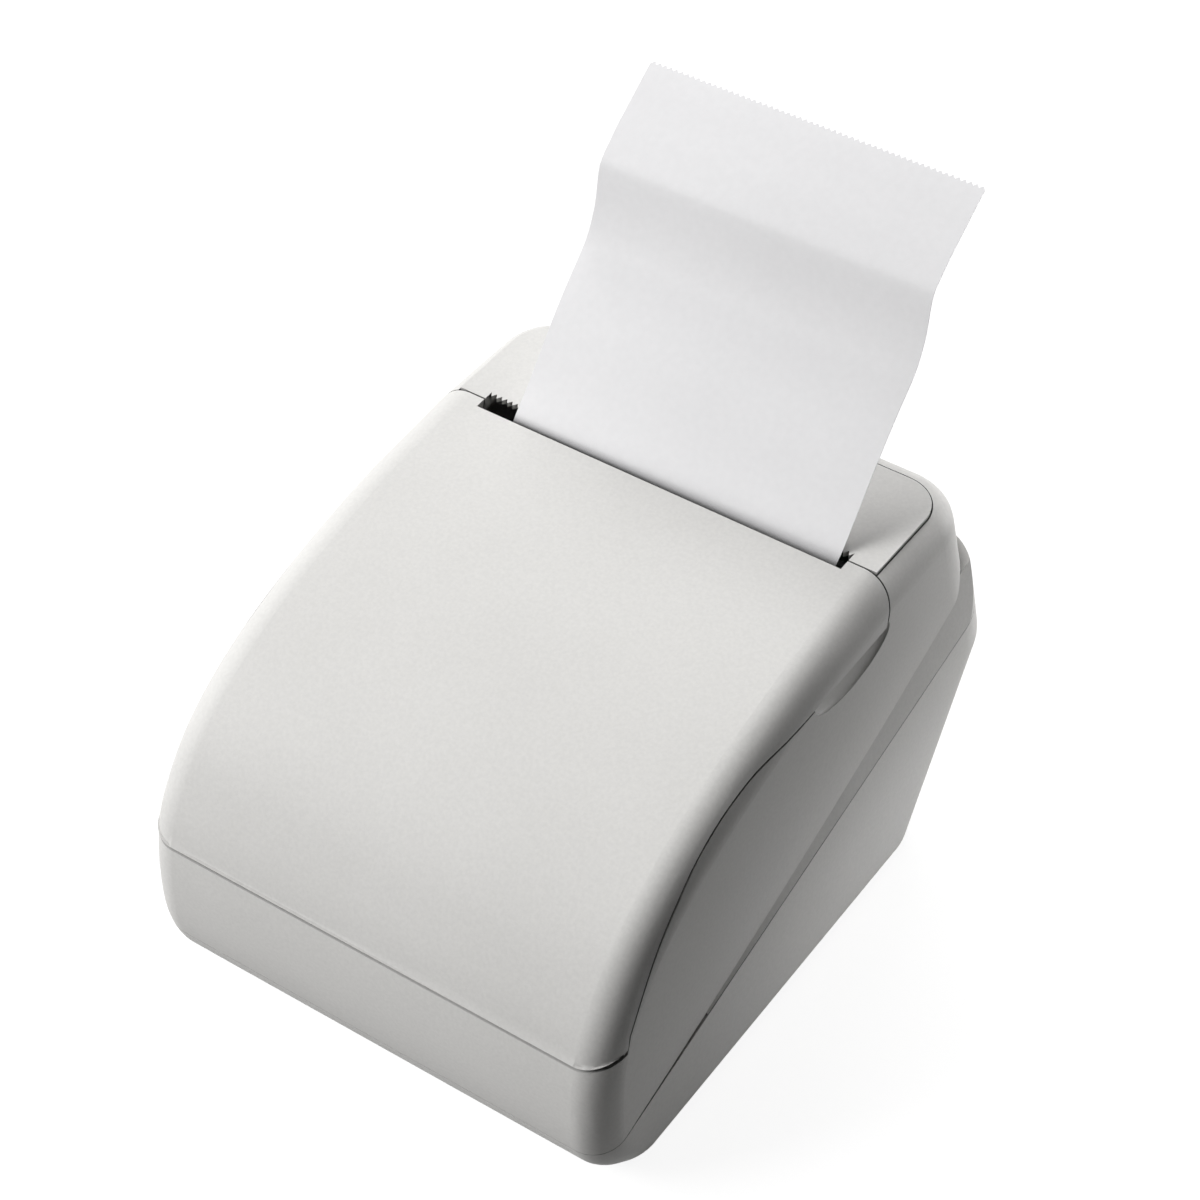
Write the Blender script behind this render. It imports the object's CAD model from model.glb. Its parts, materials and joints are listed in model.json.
import json
import math

import bpy
from mathutils import Matrix, Vector


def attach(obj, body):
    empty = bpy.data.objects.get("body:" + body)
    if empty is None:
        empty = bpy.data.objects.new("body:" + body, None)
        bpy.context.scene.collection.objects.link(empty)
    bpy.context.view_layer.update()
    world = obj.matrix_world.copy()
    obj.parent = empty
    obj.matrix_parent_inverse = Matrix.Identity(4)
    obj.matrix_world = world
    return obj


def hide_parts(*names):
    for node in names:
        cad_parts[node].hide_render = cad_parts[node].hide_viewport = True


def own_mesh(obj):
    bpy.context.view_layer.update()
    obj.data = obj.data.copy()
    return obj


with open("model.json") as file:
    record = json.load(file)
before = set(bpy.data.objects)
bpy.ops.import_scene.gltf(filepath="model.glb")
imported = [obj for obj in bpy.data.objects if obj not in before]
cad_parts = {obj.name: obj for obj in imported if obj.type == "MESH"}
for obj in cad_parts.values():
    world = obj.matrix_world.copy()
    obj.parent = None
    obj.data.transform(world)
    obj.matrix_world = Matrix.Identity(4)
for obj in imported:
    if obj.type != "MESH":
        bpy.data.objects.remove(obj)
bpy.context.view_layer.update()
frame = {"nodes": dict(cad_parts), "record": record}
slots = {part["node"]: part["material_slot"] for part in frame["record"]["subparts"]}

WHITE = (1.0, 1.0, 1.0, 1.0)

# Camera, fitted to the photograph: metres and degrees
CAMERA_PLACE = (0.1899, -0.2742, 0.3715)
CAMERA_AZIMUTH = 34.33
CAMERA_ELEVATION = 43.45
FOCAL_PIXELS = 3125.0
IMAGE_PIXELS = 1200.0
SENSOR_WIDTH = 36.0

# Front seam: where the cover turns (along, up), the radius of its lower edge, and how far
# that edge is drawn back
SEAM_PIVOT = (-0.0492, 0.0160)
SEAM_RADIUS = 0.0145
SEAM_SLACK = 0.00003
SEAM_OPENING = 0.0006

# Where the paper roll is wound, for its rings
ROLL_CENTRE = (0.0, -0.0145, 0.0329)

# Patterns: where a tint's ramp starts and ends, and how fine each kind of noise is
RAMP_START = 0.35
RAMP_END = 0.65
TINT_DETAIL = 3.0
GRAIN_DETAIL = 4.0
COARSE_DETAIL = 2.0

# Speckle: the part of its noise that counts, and how much coarser it is than the grain
SPECKLE_START = 0.3
SPECKLE_END = 0.7
SPECKLE_COARSER = 3.0

# Darkening near other surfaces: the openness at which it is full and at which it ends
CLOSED = 0.2
OPEN = 0.9
OPENNESS_SAMPLES = 8

# Colour sockets of the mix node, whose names are shared with its other data types
MIX_FIRST = 6
MIX_SECOND = 7
MIX_RESULT = 2

# Floor: its size, its two close tints, and its extra brightness where it is seen directly
FLOOR_SIZE = 6.0
FLOOR_PATCH = 3.0
FLOOR_TINT_LOW = (0.20, 0.20, 0.20)
FLOOR_TINT_HIGH = (0.22, 0.22, 0.22)
FLOOR_ROUGHNESS = 0.9
FLOOR_LIFT = 0.90

# World: its strength as a light, and as a backdrop
AMBIENT_STRENGTH = 0.02
BACKDROP_STRENGTH = 1.0

# Two soft boxes, and two small fill lights close to the right side: metres, watts and degrees
LIGHTS = (
    {"name": "soft_front_left", "place": (-0.73, -0.71, 0.64), "aim": (0.0, 0.0, 0.03),
     "size": 0.6, "power": 13.8},
    {"name": "rear_left", "place": (-0.30, 0.56, 0.80), "aim": (0.0, 0.02, 0.05),
     "size": 0.5, "power": 6.8},
    {"name": "rear_right_card", "place": (0.080, 0.110, 0.064), "aim": (0.036, 0.045, 0.045),
     "size": 0.05, "power": 0.045},
    {"name": "low_right_card", "place": (0.130, 0.095, 0.010), "aim": (0.04, 0.045, 0.006),
     "size": 0.12, "power": 0.006, "size_y": 0.014, "spread": 45.0},
)


def set_inputs(node, values):
    """Sets inputs of a node by name."""
    for socket, value in values.items():
        node.inputs[socket].default_value = value


def new_material(name):
    """Empty node material with its principled shader and the object's own coordinates."""
    material = bpy.data.materials.new(name)
    material.use_nodes = True
    nodes = material.node_tree.nodes
    shader = nodes["Principled BSDF"]
    coordinates = nodes.new("ShaderNodeTexCoord")
    return material, nodes, material.node_tree.links, shader, coordinates.outputs["Object"]


def noise(nodes, links, place, scale, detail, stretch=(1.0, 1.0, 1.0)):
    """Noise in the object's coordinates, stretched along an axis where asked."""
    mapping = nodes.new("ShaderNodeMapping")
    set_inputs(mapping, {"Scale": stretch})
    links.new(place, mapping.inputs["Vector"])
    texture = nodes.new("ShaderNodeTexNoise")
    set_inputs(texture, {"Scale": scale, "Detail": detail})
    links.new(mapping.outputs["Vector"], texture.inputs["Vector"])
    return texture.outputs["Fac"]


def tint(nodes, links, factor, low, high, shader):
    """Colour that wanders between two close tints."""
    ramp = nodes.new("ShaderNodeValToRGB")
    stops = ramp.color_ramp.elements
    for stop, position, colour in ((stops[0], RAMP_START, low), (stops[1], RAMP_END, high)):
        stop.position = position
        stop.color = (*colour, 1.0)
    links.new(factor, ramp.inputs["Fac"])
    links.new(ramp.outputs["Color"], shader.inputs["Base Color"])


def roughen(nodes, links, factor, low, high, shader):
    """Roughness that follows a pattern between two values."""
    span = nodes.new("ShaderNodeMapRange")
    set_inputs(span, {"To Min": low, "To Max": high})
    links.new(factor, span.inputs["Value"])
    links.new(span.outputs["Result"], shader.inputs["Roughness"])


def emboss(nodes, links, height, strength, depth, shader):
    """Bump from a pattern; depth is in metres."""
    bump = nodes.new("ShaderNodeBump")
    set_inputs(bump, {"Strength": strength, "Distance": depth})
    links.new(height, bump.inputs["Height"])
    links.new(bump.outputs["Normal"], shader.inputs["Normal"])


def shade(nodes, links, factor, start, end, low, high, shader):
    """Multiplies the colour by a pattern: low up to its start, high from its end on."""
    span = nodes.new("ShaderNodeMapRange")
    set_inputs(span, {"From Min": start, "From Max": end, "To Min": low, "To Max": high})
    links.new(factor, span.inputs["Value"])
    blend = nodes.new("ShaderNodeMix")
    blend.data_type = "RGBA"
    blend.blend_type = "MULTIPLY"
    set_inputs(blend, {"Factor": 1.0})
    links.new(shader.inputs["Base Color"].links[0].from_socket, blend.inputs[MIX_FIRST])
    links.new(span.outputs["Result"], blend.inputs[MIX_SECOND])
    links.new(blend.outputs[MIX_RESULT], shader.inputs["Base Color"])


def grime(nodes, links, reach, dark, shader):
    """Darkens the colour in seams and slots, where another surface is within reach, in metres."""
    openness = nodes.new("ShaderNodeAmbientOcclusion")
    openness.samples = OPENNESS_SAMPLES
    set_inputs(openness, {"Distance": reach})
    shade(nodes, links, openness.outputs["AO"], CLOSED, OPEN, dark, 1.0, shader)


def finish_material(name, low, high, patch, grain, depth, rough, metallic=0.0, stretch=(1.0, 1.0, 1.0),
                    specular=0.5, strength=0.5, speckle=0.0, dust=None):
    """Moulded, rolled or drawn surface: slow tint between low and high, fine grain in bump and roughness.

    Speckle is its share of lighter and darker spots; dust is the reach and shade of dark seams.
    """
    material, nodes, links, shader, place = new_material(name)
    tint(nodes, links, noise(nodes, links, place, patch, TINT_DETAIL), low, high, shader)
    fine = noise(nodes, links, place, grain, GRAIN_DETAIL, stretch)
    if speckle:
        spots = noise(nodes, links, place, grain / SPECKLE_COARSER, COARSE_DETAIL)
        shade(nodes, links, spots, SPECKLE_START, SPECKLE_END, 1.0 - speckle, 1.0 + speckle, shader)
    if dust:
        grime(nodes, links, *dust, shader)
    roughen(nodes, links, fine, *rough, shader)
    emboss(nodes, links, fine, strength, depth, shader)
    set_inputs(shader, {"Metallic": metallic, "Specular IOR Level": specular})
    return material


def wound_paper():
    """Edge of a tightly wound roll: fine rings round the core."""
    material, nodes, links, shader, place = new_material("wound_paper")
    mapping = nodes.new("ShaderNodeMapping")
    set_inputs(mapping, {"Location": [-value for value in ROLL_CENTRE]})
    links.new(place, mapping.inputs["Vector"])
    rings = nodes.new("ShaderNodeTexWave")
    rings.wave_type = "RINGS"
    rings.rings_direction = "X"
    set_inputs(rings, {"Scale": 900.0, "Distortion": 0.6})
    links.new(mapping.outputs["Vector"], rings.inputs["Vector"])
    tint(nodes, links, rings.outputs["Fac"], (0.70, 0.70, 0.69), (0.83, 0.83, 0.82), shader)
    emboss(nodes, links, rings.outputs["Fac"], strength=0.3, depth=0.00004, shader=shader)
    set_inputs(shader, {"Roughness": 0.6})
    return material


def wound_card():
    """Grey-brown card tube with its wrapped seam lines."""
    material, nodes, links, shader, place = new_material("wound_card")
    wraps = nodes.new("ShaderNodeTexWave")
    wraps.bands_direction = "DIAGONAL"
    set_inputs(wraps, {"Scale": 55.0, "Distortion": 1.5, "Detail": 3.0})
    links.new(place, wraps.inputs["Vector"])
    tint(nodes, links, wraps.outputs["Fac"], (0.30, 0.22, 0.14), (0.38, 0.29, 0.19), shader)
    fibres = noise(nodes, links, place, scale=3000.0, detail=GRAIN_DETAIL)
    emboss(nodes, links, fibres, strength=0.4, depth=0.00006, shader=shader)
    set_inputs(shader, {"Roughness": 0.85})
    return material


def printed_board():
    """Green board: copper tracks lie under the mask as slightly raised, lighter lines."""
    material, nodes, links, shader, place = new_material("printed_board")
    tracks = nodes.new("ShaderNodeTexBrick")
    set_inputs(tracks, {"Scale": 260.0, "Mortar Size": 0.03, "Color1": (0.010, 0.075, 0.030, 1.0),
                        "Color2": (0.013, 0.090, 0.036, 1.0), "Mortar": (0.030, 0.150, 0.060, 1.0)})
    links.new(place, tracks.inputs["Vector"])
    links.new(tracks.outputs["Color"], shader.inputs["Base Color"])
    emboss(nodes, links, tracks.outputs["Fac"], strength=0.3, depth=0.00003, shader=shader)
    mask = noise(nodes, links, place, scale=900.0, detail=COARSE_DETAIL)
    roughen(nodes, links, mask, low=0.25, high=0.4, shader=shader)
    return material


def seen_directly(nodes, links):
    """One where a ray comes from the camera, a reflection or a refraction, else zero."""
    light_path = nodes.new("ShaderNodeLightPath")
    seen = light_path.outputs["Is Camera Ray"]
    for kind in ("Is Glossy Ray", "Is Transmission Ray"):
        either = nodes.new("ShaderNodeMath")
        either.operation = "MAXIMUM"
        links.new(seen, either.inputs[0])
        links.new(light_path.outputs[kind], either.inputs[1])
        seen = either.outputs["Value"]
    return seen


def floor_material():
    """Floor that looks white where it is seen, still shows a soft shadow, and bounces little light."""
    material, nodes, links, shader, place = new_material("studio_floor")
    patches = noise(nodes, links, place, FLOOR_PATCH, COARSE_DETAIL)
    tint(nodes, links, patches, FLOOR_TINT_LOW, FLOOR_TINT_HIGH, shader)
    lift = nodes.new("ShaderNodeMath")
    lift.operation = "MULTIPLY"
    lift.inputs[1].default_value = FLOOR_LIFT
    links.new(seen_directly(nodes, links), lift.inputs[0])
    set_inputs(shader, {"Roughness": FLOOR_ROUGHNESS, "Specular IOR Level": 0.0, "Emission Color": WHITE})
    links.new(lift.outputs["Value"], shader.inputs["Emission Strength"])
    return material


MATERIALS = {
    "casing": finish_material(
        "casing_plastic", (0.695, 0.687, 0.669), (0.713, 0.705, 0.687), patch=40.0, grain=5200.0,
        depth=0.00003, rough=(0.50, 0.62), specular=0.25, speckle=0.03, dust=(0.0025, 0.12)),
    "button": finish_material(
        "button_plastic", (0.68, 0.67, 0.65), (0.71, 0.70, 0.68), patch=60.0, grain=5200.0,
        depth=0.00002, rough=(0.42, 0.52), specular=0.4),
    "inner_plastic": finish_material(
        "black_mechanism_plastic", (0.012, 0.011, 0.011), (0.020, 0.018, 0.018), patch=120.0,
        grain=4000.0, depth=0.00003, rough=(0.45, 0.6)),
    "bay_plastic": finish_material(
        "bay_plastic", (0.40, 0.39, 0.37), (0.44, 0.43, 0.41), patch=60.0, grain=4200.0,
        depth=0.00004, rough=(0.5, 0.65)),
    "bush": finish_material(
        "acetal_bush", (0.66, 0.63, 0.55), (0.70, 0.67, 0.59), patch=300.0, grain=6000.0,
        depth=0.00002, rough=(0.3, 0.42)),
    "gear_plastic": finish_material(
        "acetal_gear", (0.70, 0.68, 0.62), (0.74, 0.72, 0.66), patch=300.0, grain=6000.0,
        depth=0.00002, rough=(0.3, 0.42)),
    "rubber_black": finish_material(
        "platen_rubber", (0.012, 0.012, 0.013), (0.02, 0.02, 0.021), patch=200.0, grain=3500.0,
        depth=0.00004, rough=(0.7, 0.85), specular=0.3),
    "rubber_grey": finish_material(
        "foot_rubber", (0.09, 0.09, 0.09), (0.12, 0.12, 0.118), patch=200.0, grain=3500.0,
        depth=0.00004, rough=(0.75, 0.9), specular=0.25),
    "steel": finish_material(
        "drawn_steel", (0.50, 0.50, 0.51), (0.60, 0.60, 0.61), patch=300.0, grain=900.0,
        depth=0.00001, rough=(0.18, 0.34), metallic=1.0, stretch=(0.05, 1.0, 1.0)),
    "motor_steel": finish_material(
        "plated_can", (0.44, 0.44, 0.45), (0.54, 0.54, 0.54), patch=120.0, grain=1500.0,
        depth=0.00001, rough=(0.28, 0.42), metallic=1.0),
    "spring_steel": finish_material(
        "spring_steel", (0.42, 0.42, 0.44), (0.52, 0.52, 0.53), patch=200.0, grain=1500.0,
        depth=0.00001, rough=(0.15, 0.28), metallic=1.0, stretch=(0.05, 1.0, 1.0)),
    "brass": finish_material(
        "turned_brass", (0.62, 0.42, 0.15), (0.70, 0.50, 0.20), patch=300.0, grain=1800.0,
        depth=0.00001, rough=(0.2, 0.34), metallic=1.0),
    "aluminium": finish_material(
        "extruded_aluminium", (0.66, 0.66, 0.67), (0.76, 0.76, 0.77), patch=250.0, grain=1200.0,
        depth=0.00001, rough=(0.28, 0.42), metallic=1.0, stretch=(0.04, 1.0, 1.0)),
    "ceramic_strip": finish_material(
        "head_ceramic", (0.64, 0.60, 0.50), (0.70, 0.66, 0.57), patch=400.0, grain=5000.0,
        depth=0.00001, rough=(0.12, 0.22)),
    "black_plastic": finish_material(
        "chip_plastic", (0.010, 0.010, 0.010), (0.018, 0.018, 0.018), patch=300.0, grain=6000.0,
        depth=0.00003, rough=(0.5, 0.65)),
    "paper": finish_material(
        "thermal_paper", (0.83, 0.825, 0.835), (0.86, 0.855, 0.865), patch=25.0, grain=2600.0,
        depth=0.00003, rough=(0.42, 0.55), specular=0.3, strength=0.25, speckle=0.012,
        dust=(0.0045, 0.10)),
    "card": wound_card(),
    "board_green": printed_board(),
    "cell_film": finish_material(
        "cell_film", (0.055, 0.13, 0.30), (0.075, 0.16, 0.35), patch=60.0, grain=700.0,
        depth=0.00005, rough=(0.12, 0.25)),
}


def dress(node, material):
    """Gives a node one material in place of those it has."""
    node.data.materials.clear()
    node.data.materials.append(material)


def dress_nodes():
    """Gives every carried-over node the material of its slot, and the paper roll its own."""
    for name, node in frame["nodes"].items():
        dress(node, MATERIALS[slots[name]])
    dress(frame["nodes"]["paper_roll"], wound_paper())


def stand_in(node_name, piece_name, body):
    """Piece that starts as a copy of a node's mesh, replaces that node and rides on its body."""
    piece = bpy.data.objects.new(piece_name, frame["nodes"][node_name].data.copy())
    bpy.context.collection.objects.link(piece)
    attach(piece, body)
    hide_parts(node_name)
    return piece


def open_front_seam():
    """Front cover with its lower edge drawn back a little, so that the front seam shows as a dark line."""
    cover = stand_in("front_cover", "front_cover_shell", "cover")
    for vertex in cover.data.vertices:
        across, along, up = vertex.co
        away = math.hypot(along - SEAM_PIVOT[0], up - SEAM_PIVOT[1])
        if abs(away - SEAM_RADIUS) < SEAM_SLACK and along < SEAM_PIVOT[0] + SEAM_SLACK:
            pull = (away + SEAM_OPENING) / away
            vertex.co = (across, SEAM_PIVOT[0] + (along - SEAM_PIVOT[0]) * pull,
                         SEAM_PIVOT[1] + (up - SEAM_PIVOT[1]) * pull)


def bend_head_spring():
    """Leaf spring that the head presses flatter as it swings back."""
    spring = stand_in("head_spring", "head_leaf_spring", "base")
    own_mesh(spring)


def add_floor():
    """Plain floor under the part."""
    bpy.ops.mesh.primitive_plane_add(size=FLOOR_SIZE, location=(0.0, 0.0, 0.0))
    floor = bpy.context.object
    floor.name = "studio_floor"
    floor.data.materials.append(floor_material())


def add_area(name, place, aim, size, power, size_y=None, spread=180.0):
    """Soft square or rectangular light that the camera doesn't see; a grid may narrow its spread."""
    light = bpy.data.lights.new(name, "AREA")
    light.energy = power
    light.size = size
    if size_y:
        light.shape = "RECTANGLE"
        light.size_y = size_y
    light.spread = math.radians(spread)
    lamp = bpy.data.objects.new(name, light)
    lamp.location = place
    direction = Vector(aim) - Vector(place)
    lamp.rotation_euler = direction.to_track_quat("-Z", "Y").to_euler()
    lamp.visible_camera = False
    bpy.context.collection.objects.link(lamp)


def add_world():
    """Faint light from all round; a white backdrop where it is seen directly."""
    world = bpy.data.worlds.new("studio")
    bpy.context.scene.world = world
    world.use_nodes = True
    nodes, links = world.node_tree.nodes, world.node_tree.links
    background = nodes["Background"]
    set_inputs(background, {"Color": WHITE})
    span = nodes.new("ShaderNodeMapRange")
    set_inputs(span, {"To Min": AMBIENT_STRENGTH, "To Max": BACKDROP_STRENGTH})
    links.new(seen_directly(nodes, links), span.inputs["Value"])
    links.new(span.outputs["Result"], background.inputs["Strength"])


def add_camera():
    """Camera at the photograph's place, level, with its long lens."""
    data = bpy.data.cameras.new("camera")
    data.sensor_width = SENSOR_WIDTH
    data.lens = FOCAL_PIXELS / IMAGE_PIXELS * SENSOR_WIDTH
    camera = bpy.data.objects.new("camera", data)
    azimuth = math.radians(CAMERA_AZIMUTH)
    elevation = math.radians(CAMERA_ELEVATION)
    back = Vector((math.sin(azimuth) * math.cos(elevation), -math.cos(azimuth) * math.cos(elevation),
                   math.sin(elevation)))
    right = Vector((math.cos(azimuth), math.sin(azimuth), 0.0))
    up = back.cross(right)
    turn = Matrix((right, up, back)).transposed()
    camera.matrix_world = Matrix.Translation(CAMERA_PLACE) @ turn.to_4x4()
    bpy.context.collection.objects.link(camera)
    bpy.context.scene.camera = camera


dress_nodes()
open_front_seam()
bend_head_spring()
add_floor()
for row in LIGHTS:
    add_area(**row)
add_world()
add_camera()
bpy.context.scene.view_settings.view_transform = "Standard"
